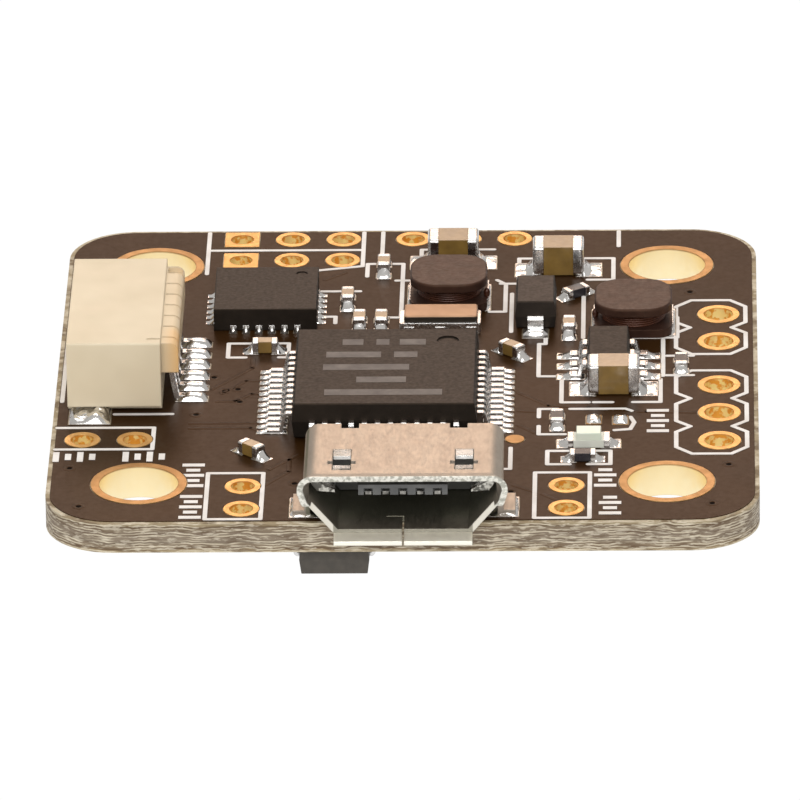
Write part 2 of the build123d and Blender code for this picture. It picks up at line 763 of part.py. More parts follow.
pin_z = 1.35 - land_thick
plug_contact = bent_strip(
    [(-12.3, pin_z), (-9.02, pin_z), (-8.82, 0.1), (-7.86, 0.1)], 0.32, 0.2, 0.14,
)
save(placed_copies(plug_contact, [(0, y, 0, seat) for y in plug_pin_ys]), "plug_contacts")

with BuildPart() as plug_tabs:
    for side in (-1, 1):
        wall_y = plug_y + side * (plug_width / 2 - cheek)
        out_y = plug_y + side * (plug_width / 2 + 0.5)
        low_y, high_y = sorted((wall_y, out_y))
        box_from((-12.65, low_y, seat), (-11.55, high_y, seat + 0.2))
        low_y, high_y = sorted((wall_y, wall_y + side * 0.2))
        box_from((-12.65, low_y, seat + 0.1), (-11.55, high_y, top + plug_end_lift))
save(plug_tabs.part, "plug_tabs")


# ---------------------------------------------------------------- USB socket shell
usb_lean = atan2(usb_slant_z, usb_slant_x)
usb_bulge_z = 0.45


def shell_points(inset=0.0, flare=0.0):
    """Corners of the D-shaped section as (x, z); inset moves every wall inwards."""
    half = usb_half + flare - inset
    high = usb_high + flare - inset
    knee = usb_low + usb_slant_z + inset * tan((pi / 2 - usb_lean) / 2)
    foot = usb_half - usb_slant_x - inset * tan(usb_lean / 2)
    curl = flare * 0.7
    right = [(half, high), (half, knee + usb_bulge_z), (half - curl, knee), (foot, usb_low + inset)]
    left = [(-x, z) for x, z in reversed(right)]
    return [(usb_x + x, z) for x, z in right + left]


def shell_solid(inset, corner):
    """A straight body whose roof and sides flare at the mouth, filled."""
    with BuildPart() as solid:
        with BuildSketch(Plane.XZ.offset(-usb_back_y)) as back:
            Polygon(*shell_points(inset), align=None)
            fillet(back.vertices().group_by(Axis.Y)[-1], corner)
        extrude(amount=usb_back_y - usb_flare_y)
        with BuildSketch(Plane.XZ.offset(-usb_flare_y)) as near:
            Polygon(*shell_points(inset), align=None)
            fillet(near.vertices().group_by(Axis.Y)[-1], corner)
        with BuildSketch(Plane.XZ.offset(-usb_mouth_y)) as far:
            Polygon(*shell_points(inset, usb_flare), align=None)
            fillet(far.vertices().group_by(Axis.Y)[-1], corner)
        loft()
    return solid.part


shell_outer = shell_solid(0.0, 0.55)
shell_inner = shell_solid(usb_sheet, 0.34)

knee_z = usb_low + usb_slant_z
foot_half = usb_half - usb_slant_x
slant_end_y = -14.62
window_x = 2.3
window_half = 0.35
window_back_y = -12.2
window_front_y = -14.02
ear_half = 0.52
ear_front_y = -13.5
ear_back_y = -13.22
back_tab_tip_y = -12.62
front_tab_tip_y = -13.42
notch_x = 2.05
notch_half = 0.33
wing_reach = 0.45
wing_low_y = -12.95
wing_high_y = -11.45
lip_drop = 0.26
lip_half = 2.6
lip_bend_y = -14.4
seam_half = 0.035
seam_turn_y = -13.5

with BuildPart() as usb_shell:
    add(shell_outer)
    add(shell_inner, mode=Mode.SUBTRACT)
    # the slanted walls and the floor end short of the flared roof and sides
    box_from((usb_x - 5, -16, usb_low - 1), (usb_x + 5, slant_end_y, knee_z - 0.08), Mode.SUBTRACT)
    for side in (-1, 1):
        # notch in the back edge of the roof
        x = usb_x + side * notch_x
        box_from(
            (x - notch_half, usb_back_y - 0.4, usb_high - 0.5),
            (x + notch_half, usb_back_y + 1, usb_high + 1),
            Mode.SUBTRACT,
        )
        # latch window, wider across its middle
        x = usb_x + side * window_x
        box_from(
            (x - window_half, window_front_y, usb_high - 0.5),
            (x + window_half, window_back_y, usb_high + 1),
            Mode.SUBTRACT,
        )
        box_from(
            (x - ear_half, ear_front_y, usb_high - 0.5),
            (x + ear_half, ear_back_y, usb_high + 1),
            Mode.SUBTRACT,
        )
        # mounting wing, bent out onto the board
        x0, x1 = sorted((usb_x + side * (usb_half - 0.16), usb_x + side * (usb_half + wing_reach)))
        box_from((x0, wing_low_y, seat), (x1, wing_high_y, seat + usb_sheet))
        x0, x1 = sorted((usb_x + side * (usb_half - usb_sheet), usb_x + side * usb_half))
        box_from((x0, wing_low_y, seat), (x1, wing_high_y, knee_z + 0.2))
    # front lip of the floor, bent down in front of the board's edge
    with BuildSketch(Plane.YZ.offset(usb_x - lip_half)):
        Polygon(
            (lip_bend_y, usb_low), (lip_bend_y, usb_low + usb_sheet),
            (usb_mouth_y, usb_low + usb_sheet - lip_drop - 0.06),
            (usb_mouth_y, usb_low - lip_drop),
            align=None,
        )
    extrude(amount=2 * lip_half)
    # butt seam along the floor, with one step
    box_from(
        (usb_x - seam_half, -16, usb_low - 1), (usb_x + seam_half, seam_turn_y, usb_low + 0.4),
        Mode.SUBTRACT,
    )
    box_from(
        (usb_x - 0.65, seam_turn_y - seam_half, usb_low - 1),
        (usb_x + seam_half, seam_turn_y + seam_half, usb_low + 0.4),
        Mode.SUBTRACT,
    )
save(usb_shell.part, "usb_shell")

# ---------------------------------------------------------------- USB spring fingers
tab_sheet = 0.14
tab_dip = 0.09
finger_y = -13.9
with BuildPart() as usb_fingers:
    for side in (-1, 1):
        x = usb_x + side * window_x
        # the roof dips into the latch window from its back and from its front
        for hinge_y, tip_y in ((window_back_y, back_tab_tip_y), (window_front_y, front_tab_tip_y)):
            with BuildSketch(Plane.YZ.offset(x - window_half + 0.02)):
                Polygon(
                    (hinge_y, usb_high - 0.005), (hinge_y, usb_high - tab_sheet),
                    (tip_y, usb_high - tab_sheet - tab_dip), (tip_y, usb_high - tab_dip),
                    align=None,
                )
            extrude(amount=2 * window_half - 0.04)
        # spring inside the upper corner of the mouth
        corner_x = usb_x + side * (usb_half - usb_sheet)
        with BuildSketch(Plane.XZ.offset(-finger_y)):
            Polygon(
                (corner_x, usb_high - 0.36), (corner_x, usb_high - 0.5),
                (corner_x - side * 0.3, usb_high - 0.93), (corner_x - side * 0.98, usb_high - 0.98),
                (corner_x - side * 0.96, usb_high - 0.88), (corner_x - side * 0.42, usb_high - 0.6),
                align=None,
            )
        extrude(amount=-1.1)
save(usb_fingers.part, "usb_spring_fingers")

# ---------------------------------------------------------------- USB tongue and contacts
tongue_half = 1.68
tongue_low = top + 1.4
tongue_high = top + 1.82
tongue_tip_y = -14.0
tongue_root_y = -11.2
tongue_slot_half = 0.17
tongue_slot_high = tongue_low + 0.27
contact_half = 0.115
contact_low = tongue_low - 0.02
contact_high = tongue_low + 0.12
with BuildPart() as usb_tongue:
    with BuildSketch(Plane.XZ.offset(0.05 - usb_back_y)) as plug_back:
        Polygon(*shell_points(usb_sheet + 0.03), align=None)
        fillet(plug_back.vertices().group_by(Axis.Y)[-1], 0.4)
    extrude(amount=usb_back_y - tongue_root_y - 0.05)
    box_from(
        (usb_x - tongue_half, tongue_tip_y, tongue_low), (usb_x + tongue_half, tongue_root_y, tongue_high)
    )
    for x in usb_pin_xs:
        box_from(
            (x - tongue_slot_half, tongue_tip_y - 0.1, tongue_low - 0.1),
            (x + tongue_slot_half, tongue_tip_y + 0.25, tongue_slot_high),
            Mode.SUBTRACT,
        )
        box_from(
            (x - contact_half, tongue_tip_y, tongue_low - 0.1),
            (x + contact_half, tongue_root_y - 0.1, contact_high),
            Mode.SUBTRACT,
        )
save(usb_tongue.part, "usb_tongue")

with BuildPart() as usb_contacts:
    for x in usb_pin_xs:
        box_from(
            (x - contact_half, tongue_tip_y + 0.08, contact_low),
            (x + contact_half, tongue_root_y - 0.1, contact_high),
        )
save(usb_contacts.part, "usb_contacts")

usb_tail = bent_strip([(0.0, 0.6), (0.28, 0.6), (0.36, 0.08), (0.95, 0.08)], 0.24, 0.14, 0.08)
save(placed_copies(usb_tail, [(x, usb_back_y - 0.02, 90, seat) for x in usb_pin_xs]), "usb_tails")
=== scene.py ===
"""Looks of the flight controller board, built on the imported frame. All lengths below are millimetres."""

import json
from math import cos, pi, radians, sin

import bpy
from mathutils import Matrix, Vector, noise


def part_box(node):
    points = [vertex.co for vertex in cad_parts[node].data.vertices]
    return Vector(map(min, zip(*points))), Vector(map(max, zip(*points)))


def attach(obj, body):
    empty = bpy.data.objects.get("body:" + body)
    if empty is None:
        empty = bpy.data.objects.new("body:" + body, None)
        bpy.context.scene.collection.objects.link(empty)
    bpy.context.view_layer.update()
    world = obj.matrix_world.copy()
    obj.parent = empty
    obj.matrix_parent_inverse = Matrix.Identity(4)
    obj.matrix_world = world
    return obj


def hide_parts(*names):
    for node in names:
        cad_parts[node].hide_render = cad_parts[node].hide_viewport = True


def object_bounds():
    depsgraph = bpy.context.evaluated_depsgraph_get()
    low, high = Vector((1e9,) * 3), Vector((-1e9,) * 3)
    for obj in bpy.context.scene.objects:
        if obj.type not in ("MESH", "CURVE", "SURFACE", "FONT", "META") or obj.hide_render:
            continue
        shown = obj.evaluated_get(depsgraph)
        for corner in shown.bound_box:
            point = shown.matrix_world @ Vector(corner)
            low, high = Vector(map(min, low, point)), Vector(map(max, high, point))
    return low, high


MM = 0.001
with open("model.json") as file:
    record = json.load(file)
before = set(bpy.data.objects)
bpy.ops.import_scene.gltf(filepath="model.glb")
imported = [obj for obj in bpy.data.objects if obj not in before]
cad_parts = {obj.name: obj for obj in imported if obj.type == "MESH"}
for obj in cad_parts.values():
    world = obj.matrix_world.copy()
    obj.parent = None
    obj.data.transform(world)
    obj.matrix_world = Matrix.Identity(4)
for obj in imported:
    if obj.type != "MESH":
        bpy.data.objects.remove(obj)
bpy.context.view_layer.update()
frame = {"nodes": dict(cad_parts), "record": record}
nodes = frame["nodes"]

# ------------------------------------------------------- heights and places shared with the CAD part
BOARD_TOP = 1.2
MASK_TOP = 1.23
SEAT = 1.245
MCU_AT = (-0.77, -2.7)
MCU_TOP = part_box("mcu_body")[1].z / MM
IMU_AT = (-5.6, 5.95)
REGULATOR_AT = (7.75, 0.45)
DIODE_AT = (4.9, 5.3)
RESONATOR_AT = (1.2, 4.05)
INDUCTORS = [(1.5, 6.95), (8.7, 4.55)]
LED_AT = (7.02, -6.6)
LARGE_CAPACITORS = [(7.95, -1.62, 0), (5.75, 9.55, 0), (1.62, 10.3, 0)]
SMALL_CAPACITORS = [
    (-5.55, 2.0, 0), (-5.8, -7.45, -42), (4.0, 1.6, -42), (6.2, 3.7, 90),
    (-2.45, 6.5, 90), (-1.95, 4.35, 90), (-1.1, 4.35, 90), (-1.1, 9.6, 90),
]
SMALL_RESISTORS = [(5.8, -4.65, 90), (10.55, 0.5, 90), (6.8, -8.0, 0), (6.45, 7.15, 35)]
BOOT_LANDS = [(7.2, -4.42), (8.22, -4.48)]
PLUG_PIN_YS = [0.15 + i - 2.5 for i in range(6)]
PLUG_TAB_YS = [-3.9, 4.2]
USB_WINGS = [-3.65, 3.85]
USB_X = 0.1
USB_PIN_XS = [USB_X + 0.65 * (i - 2) for i in range(5)]
USB_LIP_HALF = 2.6

# where one tint gives way to the next, as a start and an end along one axis
BARREL_TOP_Z = (BOARD_TOP - 0.03, BOARD_TOP + 0.03)
SOCKET_DEPTH_Y = (-14.9, -13.3)
SOCKET_ROOF_Z = (3.46, 3.5)
SOCKET_WALLS_X = (3.56, 3.62)
SOCKET_RIM_Y = (-15.0, -14.93)
SLANT_TOP_Z = (2.55, 2.65)
WALLS_END_Y = (-14.66, -14.56)
FLOOR_END_FRONT_Y = (-14.66, -14.64)
FLOOR_END_BACK_Y = (-14.6, -14.57)
SPRINGS_AT_MOUTH_Y = (-13.9, -13.7)
PLUG_CELLS_X = (-9.4, -8.7)
PLUG_FOOT_Y = (-2.3, -1.7)


# ------------------------------------------------------- colour and shader helpers
def tone(red, green, blue):
    """A linear colour from the usual 0 to 255 screen values."""
    def linear(value):
        value /= 255
        return value / 12.92 if value <= 0.04045 else ((value + 0.055) / 1.055) ** 2.4
    return (linear(red), linear(green), linear(blue), 1.0)


def blank_material(name):
    material = bpy.data.materials.new(name)
    material.use_nodes = True
    return material, material.node_tree, material.node_tree.nodes["Principled BSDF"]


def noise_value(tree, place, scale, detail=3.0, stretch=(1, 1, 1)):
    """Noise in the part's own coordinates; scale counts features per metre."""
    mapping = tree.nodes.new("ShaderNodeMapping")
    mapping.inputs["Scale"].default_value = stretch
    tree.links.new(place, mapping.inputs["Vector"])
    texture = tree.nodes.new("ShaderNodeTexNoise")
    texture.inputs["Scale"].default_value = scale
    texture.inputs["Detail"].default_value = detail
    tree.links.new(mapping.outputs["Vector"], texture.inputs["Vector"])
    return texture.outputs["Fac"]


def spread(tree, value, low, high, start=0.3, end=0.7):
    """Stretches the middle of a noise value over a range."""
    node = tree.nodes.new("ShaderNodeMapRange")
    node.inputs["From Min"].default_value = start
    node.inputs["From Max"].default_value = end
    node.inputs["To Min"].default_value = low
    node.inputs["To Max"].default_value = high
    tree.links.new(value, node.inputs["Value"])
    return node.outputs["Result"]


def blend_colours(tree, factor, dark, light):
    """A mix from dark to light; either may be a colour or another node's output."""
    node = tree.nodes.new("ShaderNodeMix")
    node.data_type = "RGBA"
    for socket, colour in ((node.inputs[6], dark), (node.inputs[7], light)):
        if isinstance(colour, tuple):
            socket.default_value = colour
        else:
            tree.links.new(colour, socket)
    tree.links.new(factor, node.inputs[0])
    return node.outputs[2]


def product(tree, first, second):
    node = tree.nodes.new("ShaderNodeMath")
    node.operation = "MULTIPLY"
    tree.links.new(first, node.inputs[0])
    tree.links.new(second, node.inputs[1])
    return node.outputs["Value"]


def set_relief(tree, shader, height, depth, edge):
    """Fine bumps of a depth, on edges rounded by a radius."""
    bump = tree.nodes.new("ShaderNodeBump")
    bump.inputs["Strength"].default_value = 1.0
    bump.inputs["Distance"].default_value = depth * MM
    tree.links.new(height, bump.inputs["Height"])
    if edge:
        rounding = tree.nodes.new("ShaderNodeBevel")
        rounding.samples = 4
        rounding.inputs["Radius"].default_value = edge * MM
        tree.links.new(rounding.outputs["Normal"], bump.inputs["Normal"])
    tree.links.new(bump.outputs["Normal"], shader.inputs["Normal"])


def surface(name, dark, light, rough, metal=0.0, grain=2500.0, depth=0.002, edge=0.03,
            rough_spread=0.07, coat=0.0, stretch=(1, 1, 1), sheen=(1, 1, 1), gloss=0.5):
    """A finish with uneven colour and roughness, fine bumps and rounded edges."""
    material, tree, shader = blank_material(name)
    place = tree.nodes.new("ShaderNodeTexCoord").outputs["Object"]
    broad = noise_value(tree, place, grain * 0.35, 2.0, stretch)
    fine = noise_value(tree, place, grain, 4.0, stretch)
    colour = blend_colours(tree, spread(tree, broad, 0, 1), dark, light)
    tree.links.new(colour, shader.inputs["Base Color"])
    tree.links.new(
        spread(tree, fine, rough - rough_spread, rough + rough_spread), shader.inputs["Roughness"]
    )
    shader.inputs["Metallic"].default_value = metal
    shader.inputs["Coat Weight"].default_value = coat
    shader.inputs["Coat Roughness"].default_value = 0.15
    shader.inputs["Specular IOR Level"].default_value = gloss
    shader.inputs["Specular Tint"].default_value = (*sheen, 1)
    set_relief(tree, shader, fine, depth, edge)
    return material


def coordinate(tree, axis):
    """One coordinate of the shaded point, in metres."""
    split = tree.nodes.new("ShaderNodeSeparateXYZ")
    tree.links.new(tree.nodes.new("ShaderNodeTexCoord").outputs["Object"], split.inputs["Vector"])
    return split.outputs[axis]


def band(tree, axis, low, high, places):
    """Goes from low to high between two places along an axis, given in millimetres."""
    return spread(tree, coordinate(tree, axis), low, high, places[0] * MM, places[1] * MM)


def distance_from(tree, middle, reach):
    """Millimetres from a middle along X, up to a reach."""
    offset = band(tree, "X", -reach, reach, (middle - reach, middle + reach))
    size = tree.nodes.new("ShaderNodeMath")
    size.operation = "ABSOLUTE"
    tree.links.new(offset, size.inputs[0])
    return size.outputs["Value"]


def mottle(tree, scale, detail, start, end, dark, light):
    """A patchy mix of two colours."""
    place = tree.nodes.new("ShaderNodeTexCoord").outputs["Object"]
    share = spread(tree, noise_value(tree, place, scale, detail), 0, 1, start, end)
    return blend_colours(tree, share, dark, light)


def tint_where(material, factor, colour):
    """Mixes a colour into a finish where a factor is high."""
    tree = material.node_tree
    socket = tree.nodes["Principled BSDF"].inputs["Base Color"]
    plain = socket.links[0].from_socket
    tree.links.new(blend_colours(tree, factor, plain, colour), socket)


# ------------------------------------------------------- the cut edge of the laminate
LAYER_PITCH = 0.105


def laminate_surface():
    """Stacked glass layers: wavy pale fibre bundles in a brown resin, darker near both faces."""
    material, tree, shader = blank_material("laminate")
    place = tree.nodes.new("ShaderNodeTexCoord").outputs["Object"]
    wave = spread(tree, noise_value(tree, place, 1100.0, 2.0), -0.05 * MM, 0.05 * MM)
    lift = tree.nodes.new("ShaderNodeCombineXYZ")
    tree.links.new(wave, lift.inputs["Z"])
    moved = tree.nodes.new("ShaderNodeVectorMath")
    moved.operation = "ADD"
    tree.links.new(place, moved.inputs[0])
    tree.links.new(lift.outputs["Vector"], moved.inputs[1])
    wavy = moved.outputs["Vector"]

    height = tree.nodes.new("ShaderNodeSeparateXYZ")
    tree.links.new(wavy, height.inputs["Vector"])
    share = spread(tree, height.outputs["Z"], 0, 1, 0, BOARD_TOP * MM)
    strata = tree.nodes.new("ShaderNodeValToRGB")
    stops = [
        (0.0, tone(190, 176, 146)), (0.08, tone(150, 130, 98)), (0.13, tone(86, 64, 38)),
        (0.2, tone(132, 114, 90)), (0.36, tone(122, 108, 90)), (0.5, tone(134, 119, 100)),
        (0.66, tone(116, 100, 82)), (0.8, tone(130, 114, 92)), (0.88, tone(92, 72, 48)),
        (0.93, tone(140, 122, 92)), (1.0, tone(160, 144, 114)),
    ]
    ramp = strata.color_ramp
    ramp.elements[0].position, ramp.elements[0].color = stops[0]
    ramp.elements[1].position, ramp.elements[1].color = stops[-1]
    for position, colour in stops[1:-1]:
        ramp.elements.new(position).color = colour
    tree.links.new(share, strata.inputs["Fac"])

    layer = tree.nodes.new("ShaderNodeMath")
    layer.operation = "SNAP"
    layer.inputs[1].default_value = LAYER_PITCH * MM
    tree.links.new(height.outputs["Z"], layer.inputs[0])
    shifted = tree.nodes.new("ShaderNodeCombineXYZ")
    split = tree.nodes.new("ShaderNodeSeparateXYZ")
    tree.links.new(place, split.inputs["Vector"])
    tree.links.new(split.outputs["X"], shifted.inputs["X"])
    tree.links.new(split.outputs["Y"], shifted.inputs["Y"])
    tree.links.new(layer.outputs["Value"], shifted.inputs["Z"])
    wave_in_layer = tree.nodes.new("ShaderNodeMath")
    wave_in_layer.operation = "PINGPONG"
    wave_in_layer.inputs[1].default_value = LAYER_PITCH / 2 * MM
    tree.links.new(height.outputs["Z"], wave_in_layer.inputs[0])
    row_share = spread(
        tree, wave_in_layer.outputs["Value"], 0, 0.85, LAYER_PITCH * 0.16 * MM, LAYER_PITCH * 0.4 * MM
    )
    dashes = noise_value(tree, shifted.outputs["Vector"], 950.0, 2.0, (1, 1, 9))
    dash_share = spread(tree, dashes, 0, 1, 0.44, 0.56)
    threads = noise_value(tree, wavy, 3000.0, 2.0, (1, 1, 5))
    gaps = noise_value(tree, wavy, 900.0, 2.0, (1, 1, 8))
    gap_share = spread(tree, gaps, 0, 0.6, 0.5, 0.6)
    darker = blend_colours(tree, gap_share, strata.outputs["Color"], tone(88, 66, 42))
    paler = blend_colours(tree, product(tree, row_share, dash_share), darker, tone(204, 192, 168))
    mixed = blend_colours(tree, spread(tree, threads, 0, 0.4, 0.53, 0.62), paler, tone(232, 222, 200))
    tree.links.new(mixed, shader.inputs["Base Color"])
    shader.inputs["Roughness"].default_value = 0.62
    set_relief(tree, shader, threads, 0.03, 0.0)
    return material


def mask_surface():
    """Semi-gloss brown lacquer with faint patches."""
    material, tree, shader = blank_material("solder_mask")
    place = tree.nodes.new("ShaderNodeTexCoord").outputs["Object"]
    broad = noise_value(tree, place, 260.0, 3.0)
    fine = noise_value(tree, place, 5200.0, 3.0)
    patches = blend_colours(tree, spread(tree, broad, 0, 1), tone(44, 26, 8), tone(54, 33, 13))
    tree.links.new(patches, shader.inputs["Base Color"])
    shader.inputs["Specular IOR Level"].default_value = 0.14
    shader.inputs["Specular Tint"].default_value = (1.0, 0.5, 0.2, 1)
    tree.links.new(spread(tree, fine, 0.36, 0.44), shader.inputs["Roughness"])
    set_relief(tree, shader, fine, 0.0012, 0.02)
    return material


# ------------------------------------------------------- one finish for each material of the record
materials = {
    "laminate": laminate_surface(),
    "solder_mask": mask_surface(),
    "white_ink": surface(
        "white_ink", tone(226, 221, 216), tone(246, 243, 240), 0.55, depth=0.004, edge=0.01
    ),
    "gold_plate": surface(
        "gold_plate", (0.38, 0.225, 0.092, 1), (0.48, 0.295, 0.13, 1), 0.44, 1.0, 3500.0, 0.004, 0.05
    ),
    "tinned_copper": surface(
        "tinned_copper", (0.46, 0.42, 0.38, 1), (0.78, 0.74, 0.7, 1), 0.32, 1.0, 5200.0, 0.012, 0.03
    ),
    "lead_tin": surface(
        "lead_tin", (0.62, 0.61, 0.6, 1), (0.86, 0.85, 0.84, 1), 0.25, 1.0, 4200.0, 0.006, 0.05
    ),
    "chip_epoxy": surface(
        "chip_epoxy", tone(26, 24, 22), tone(33, 30, 27), 0.5, grain=7000.0, depth=0.006,
        sheen=(1, 0.7, 0.5), gloss=0.31,
    ),
    "dark_epoxy": surface(
        "dark_epoxy", tone(28, 27, 26), tone(36, 34, 32), 0.48, grain=7000.0, depth=0.006,
        sheen=(1, 0.72, 0.55), gloss=0.38,
    ),
    "ferrite": surface(
        "ferrite", tone(50, 33, 27), tone(64, 43, 35), 0.42, grain=6000.0, depth=0.01, edge=0.06,
        gloss=0.33, sheen=(1, 0.66, 0.46),
    ),
    "coil_wire": surface(
        "coil_wire", tone(60, 32, 22), tone(96, 54, 34), 0.3, 0.3, depth=0.002, edge=0.0
    ),
    "capacitor_ceramic": surface(
        "capacitor_ceramic", tone(122, 95, 46), tone(142, 112, 56), 0.36, coat=0.9, grain=5200.0,
        depth=0.003, edge=0.05,
    ),
    "resistor_glaze": surface("resistor_glaze", tone(44, 42, 46), tone(56, 54, 58), 0.3, depth=0.003),
    "lid_plate": surface("lid_plate", tone(168, 128, 96), tone(190, 148, 112), 0.38, 0.2, depth=0.003),
    "cream_nylon": surface(
        "cream_nylon", tone(220, 205, 176), tone(229, 215, 187), 0.42, grain=1200.0, depth=0.003,
        edge=0.07,
    ),
    "socket_steel": surface(
        "socket_steel", (0.45, 0.39, 0.33, 1), (0.52, 0.46, 0.39, 1), 0.5, 1.0, 9000.0, 0.004, 0.06,
        stretch=(1, 0.35, 1),
    ),
    "tongue_plastic": surface("tongue_plastic", tone(84, 84, 84), tone(110, 110, 108), 0.42),
    "led_ceramic": surface("led_ceramic", tone(214, 216, 204), tone(236, 238, 228), 0.4),
    "led_resin": surface(
        "led_resin", tone(206, 220, 200), tone(240, 240, 226), 0.12, coat=0.6, depth=0.002
    ),
}

# finishes that some nodes and added pieces have instead of their slot's
materials["small_gold"] = surface(
    "small_gold", (0.66, 0.37, 0.12, 1), (0.82, 0.5, 0.19, 1), 0.4, 0.8, 5200.0, 0.02, 0.04
)
materials["solder"] = surface(
    "solder", (0.74, 0.73, 0.72, 1), (0.93, 0.92, 0.91, 1), 0.17, 1.0, 3000.0, 0.02, 0.0, 0.06
)
materials["bright_steel"] = surface(
    "bright_steel", (0.5, 0.49, 0.46, 1), (0.95, 0.93, 0.9, 1), 0.28, 1.0, 6000.0, 0.004, 0.03
)
# painted shade with painted glints: the socket's contacts down in the tongue's notches, darkened and
# speckled
materials["contact_painted_shade"] = surface(
    "contact_painted_shade", (0.05, 0.045, 0.04, 1), (0.5, 0.48, 0.44, 1), 0.3, 1.0, 9000.0, 0.01, 0.02
)
materials["via_dark"] = surface("via_dark", tone(14, 9, 6), tone(26, 17, 11), 0.8, gloss=0.05, edge=0.0)
materials["under_epoxy"] = surface("under_epoxy", tone(60, 55, 48), tone(72, 66, 58), 0.5, grain=7000.0)
materials["marking"] = surface(
    "marking", tone(96, 88, 84), tone(118, 110, 104), 0.6, grain=5000.0, edge=0.0
)

# the socket: painted shade on the inside, painted highlights on the rim and the slanted wall ends, painted
# shade on the floor end above the lip
steel = materials["socket_steel"].node_tree
# painted shade: the inside, between the walls and under the roof, is darkened
between_walls = spread(steel, distance_from(steel, 0, 5), 1, 0, *SOCKET_WALLS_X)
inside = product(steel, band(steel, "Y", 0, 1, SOCKET_DEPTH_Y), band(steel, "Z", 1, 0, SOCKET_ROOF_Z))
tint_where(materials["socket_steel"], product(steel, inside, between_walls), (0.25, 0.24, 0.18, 1))
# painted highlight: a bright mottled band along the socket's front rim
rim_painted_highlight = mottle(steel, 6500.0, 3.0, 0.4, 0.56, (0.46, 0.45, 0.39, 1), (0.84, 0.82, 0.74, 1))
tint_where(materials["socket_steel"], band(steel, "Y", 1, 0, SOCKET_RIM_Y), rim_painted_highlight)
below_slants = band(steel, "Z", 1, 0, SLANT_TOP_Z)
# painted highlight: the slanted wall ends below the slants' top are lightened
wall_ends = product(steel, below_slants, band(steel, "Y", 1, 0, WALLS_END_Y))
tint_where(materials["socket_steel"], wall_ends, (1.0, 0.97, 0.86, 1))
# painted shade: a darker strip where the floor bends down into the lip
over_lip = spread(steel, distance_from(steel, USB_X, 2.7), 1, 0, USB_LIP_HALF, USB_LIP_HALF + 0.04)
floor_end = product(
    steel, band(steel, "Y", 0, 1, FLOOR_END_FRONT_Y), band(steel, "Y", 1, 0, FLOOR_END_BACK_Y)
)
floor_end = product(steel, product(steel, floor_end, over_lip), below_slants)
tint_where(materials["socket_steel"], floor_end, (0.36, 0.34, 0.28, 1))

# painted shade on the springs inside the socket's mouth, speckled with painted highlights
springs = materials["bright_steel"].node_tree
spring_painted_shade = mottle(springs, 3200.0, 2.0, 0.48, 0.56, (0.12, 0.115, 0.1, 1), (0.6, 0.58, 0.52, 1))
tint_where(materials["bright_steel"], band(springs, "Y", 1, 0, SPRINGS_AT_MOUTH_Y), spring_painted_shade)

# painted reflected light inside the plated holes: the barrels are coloured brighter than the gold
gold = materials["gold_plate"].node_tree
tint_where(materials["gold_plate"], band(gold, "Z", 1, 0, BARREL_TOP_Z), (1.0, 0.86, 0.55, 1))
# painted reflected light, mottled, in the small plated holes
small_gold = materials["small_gold"].node_tree
barrel_painted_light = mottle(small_gold, 4200.0, 2.0, 0.44, 0.54, (0.86, 0.46, 0.1, 1), (1.0, 0.92, 0.52, 1))
tint_where(materials["small_gold"], band(small_gold, "Z", 1, 0, BARREL_TOP_Z), barrel_painted_light)

# the sides of the resonator's lid, below its tan top face, darkened with painted shade
lid = materials["lid_plate"].node_tree
lid_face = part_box("resonator_lid")[1].z / MM
lid_side = band(lid, "Z", 1, 0, (lid_face - 0.06, lid_face - 0.03))
tint_where(materials["lid_plate"], lid_side, tone(50, 44, 36))

# the plug's rear cells, warmest at the near foot
nylon = materials["cream_nylon"].node_tree
rear_cells = product(
    nylon, band(nylon, "X", 0, 1, PLUG_CELLS_X), band(nylon, "Y", 1, 0.3, PLUG_FOOT_Y)
)
tint_where(materials["cream_nylon"], rear_cells, tone(236, 190, 128))

own_finish = {
    "wire_hole_plating": "small_gold",
    "header_hole_plating": "small_gold",
    "back_row_plating": "small_gold",
    "usb_spring_fingers": "bright_steel",
    "usb_contacts": "contact_painted_shade",
    "underside_diode_body": "under_epoxy",
}
for item in frame["record"]["subparts"]:
    mesh = nodes[item["node"]].data
    mesh.materials.clear()
    mesh.materials.append(materials[own_finish.get(item["node"], item["material_slot"])])


# ------------------------------------------------------- mesh helpers
def add_piece(name, points, faces, material, smooth=True):
    """A mesh from millimetre points, riding on the board."""
    mesh = bpy.data.meshes.new(name)
    mesh.from_pydata([[c * MM for c in p] for p in points], [], faces)
    mesh.materials.append(materials[material])
    for face in mesh.polygons:
        face.use_smooth = smooth
    piece = bpy.data.objects.new(name, mesh)
    bpy.context.scene.collection.objects.link(piece)
    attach(piece, "root")
    return piece


class Lumps:
    """Collects small curved patches into one mesh."""

    def __init__(self):
        self.points = []
        self.faces = []

    def patch(self, place, start, end, width, height, rise, columns=8, rows=6, rough=0.12):
        """A patch from start to end along a turned place; rise(u, v) shapes its height."""
        low = SEAT - 0.004
        x0, y0, turn = place
        c, s = cos(radians(turn)), sin(radians(turn))
        first = len(self.points)
        for i in range(columns + 1):
            for j in range(rows + 1):
                u = i / columns
                v = 2 * j / rows - 1
                along = start + (end - start) * u
                across = v * width / 2
                x = x0 + along * c - across * s
                y = y0 + along * s + across * c
                lump = 1 + rough * noise.noise(Vector((x * 4.1, y * 4.1, 0.7)))
                edge = i in (0, columns) or j in (0, rows)
                z = low + (0 if edge else height * rise(u, v) * lump)
                self.points.append((x, y, z))
        for i in range(columns):
            for j in range(rows):
                a = first + i * (rows + 1) + j
                self.faces.append((a, a + rows + 1, a + rows + 2, a + 1))

    def build(self, name, material):
        return add_piece(name, self.points, self.faces, material)


